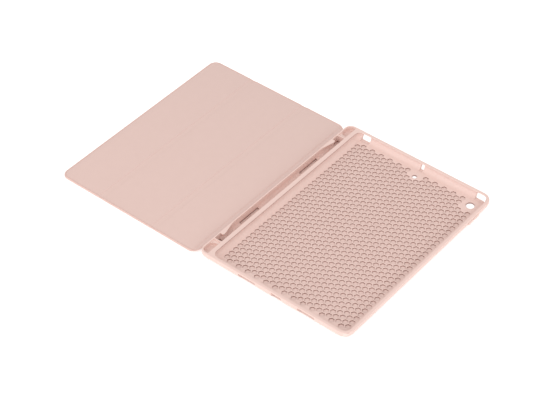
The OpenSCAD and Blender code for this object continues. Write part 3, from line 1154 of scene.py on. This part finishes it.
class CASE_OT_hinge_flap(bpy.types.Operator):
    """Build the leather flap that is glued to the tray's wall and under its floor"""

    bl_idname = "case.hinge_flap"
    bl_label = "Hinge flap"

    def execute(self, context):
        tray = context.scene.tray_shape
        low, high = FLAP_LOW, FLAP_HIGH
        t = FLAP_DEPTH
        gap = TINY
        inset = 0.05 * MM
        inner_r = tray.hinge_edge - FLAP_BEND
        outer_r = tray.hinge_edge + 0.3 * MM
        inner = [(TRAY_LOW.x - gap, high.z)]
        outer = [(low.x, high.z)]
        for c, s in arc(180, 270, 8):
            inner.append((TRAY_LOW.x - gap + inner_r * (1 + c), t - gap + inner_r * (1 + s)))
            outer.append((low.x + outer_r * (1 + c), outer_r * (1 + s)))
        inner.append((high.x - inset, t - gap))
        outer += [(high.x - 0.4 * MM, 0), (high.x - inset, 0.25 * MM)]
        outline = outer + inner[::-1]
        ends = (low.y + inset, high.y - inset)
        shape = loft([[(x, y, z) for x, z in outline] for y in ends])
        piece = solid("hinge_flap_leather", shape)
        dress(piece, "leather")
        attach(piece, "tray")
        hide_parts("hinge_flap")
        return {"FINISHED"}


class CASE_OT_inner_parts(bpy.types.Operator):
    """Give the boards and magnets inside the cover their materials"""

    bl_idname = "case.inner_parts"
    bl_label = "Boards and magnets"

    def execute(self, context):
        for name, node in frame["nodes"].items():
            kind = "board" if name.endswith("board") else "steel" if "magnets" in name else None
            if kind is None:
                continue
            node.data.materials.clear()
            node.data.materials.append(finish_of(kind))
        return {"FINISHED"}


# ---------------------------------------------------------------- the stage


def direction(azimuth, elevation):
    """The unit vector from the case towards a place at that azimuth and elevation."""
    return Vector(
        (
            math.sin(azimuth) * math.cos(elevation),
            -math.cos(azimuth) * math.cos(elevation),
            math.sin(elevation),
        )
    )


FLOOR_SIZE = 6.0
LIGHT_SIZE = 5.0
LIGHT_DISTANCE = 7.0


def area_light(name, azimuth, elevation, power):
    """A square soft light that faces the case."""
    data = bpy.data.lights.new(name, "AREA")
    data.energy = power
    data.size = LIGHT_SIZE
    light = bpy.data.objects.new(name, data)
    towards = direction(math.radians(azimuth), math.radians(elevation))
    light.location = towards * LIGHT_DISTANCE
    light.rotation_euler = towards.to_track_quat("Z", "Y").to_euler()
    bpy.context.scene.collection.objects.link(light)


class CASE_OT_stage(bpy.types.Operator):
    """Set the floor, the lights and the camera"""

    bl_idname = "case.stage"
    bl_label = "Stage"

    def execute(self, context):
        scene = context.scene
        stage = scene.stage_set
        half = FLOOR_SIZE / 2
        shape = bmesh.new()
        corners = ((-half, -half), (half, -half), (half, half), (-half, half))
        shape.faces.new([shape.verts.new((x, y, 0)) for x, y in corners])
        mesh = bpy.data.meshes.new("floor")
        shape.to_mesh(mesh)
        shape.free()
        floor = bpy.data.objects.new("floor", mesh)
        mesh.materials.append(finish_of("ground"))
        scene.collection.objects.link(floor)

        world = bpy.data.worlds.new("studio")
        world.use_nodes = True
        background = world.node_tree.nodes["Background"]
        background.inputs["Color"].default_value = (1, 1, 1, 1)
        background.inputs["Strength"].default_value = stage.dome
        scene.world = world
        area_light("key", 0, 30, stage.key)
        area_light("fill", 90, 38, stage.fill)

        data = bpy.data.cameras.new("camera")
        data.sensor_width = 36
        data.lens = stage.lens
        data.clip_end = 20
        camera = bpy.data.objects.new("camera", data)
        back = direction(stage.azimuth, stage.elevation)
        target = Vector((stage.target_x, stage.target_y, 0))
        camera.location = target + back * stage.distance
        right = Vector((math.cos(stage.azimuth), math.sin(stage.azimuth), 0))
        up = back.cross(right)
        c, s = math.cos(stage.roll), math.sin(stage.roll)
        camera.matrix_world = camera_matrix(
            camera.location, right * c + up * s, up * c - right * s, back
        )
        scene.collection.objects.link(camera)
        scene.camera = camera
        scene.view_settings.view_transform = "Standard"
        return {"FINISHED"}


def camera_matrix(place, right, up, back):
    """A matrix from a place and three axes."""
    columns = [right.to_4d(), up.to_4d(), back.to_4d(), place.to_4d()]
    for column, w in zip(columns, (0, 0, 0, 1)):
        column.w = w
    return Matrix(columns).transposed()


# ---------------------------------------------------------------- the add-on


class CASE_PT_panel(bpy.types.Panel):
    """The case's pieces, in the order they are built"""

    bl_idname = "CASE_PT_panel"
    bl_label = "Folio Case"
    bl_space_type = "VIEW_3D"
    bl_region_type = "UI"
    bl_category = "Folio Case"

    def draw(self, context):
        for operator in OPERATORS:
            self.layout.operator(operator.bl_idname)


GROUPS = {
    "tray_shape": TrayShape,
    "channel_shape": ChannelShape,
    "opening_shape": OpeningShape,
    "cell_shape": CellShape,
    "cover_shape": CoverShape,
    "case_colours": CaseColours,
    "stage_set": StageSet,
}
OPERATORS = (
    CASE_OT_tray,
    CASE_OT_volume_pads,
    CASE_OT_cover,
    CASE_OT_spine,
    CASE_OT_hinge_flap,
    CASE_OT_inner_parts,
    CASE_OT_stage,
)


def register():
    for group in GROUPS.values():
        bpy.utils.register_class(group)
    for name, group in GROUPS.items():
        setattr(bpy.types.Scene, name, PointerProperty(type=group))
    for operator in OPERATORS:
        bpy.utils.register_class(operator)
    bpy.utils.register_class(CASE_PT_panel)


def unregister():
    bpy.utils.unregister_class(CASE_PT_panel)
    for operator in reversed(OPERATORS):
        bpy.utils.unregister_class(operator)
    for name, group in reversed(GROUPS.items()):
        delattr(bpy.types.Scene, name)
        bpy.utils.unregister_class(group)


def main():
    register()
    for operator in OPERATORS:
        group, name = operator.bl_idname.split(".")
        getattr(getattr(bpy.ops, group), name)()


if __name__ == "__main__":
    main()
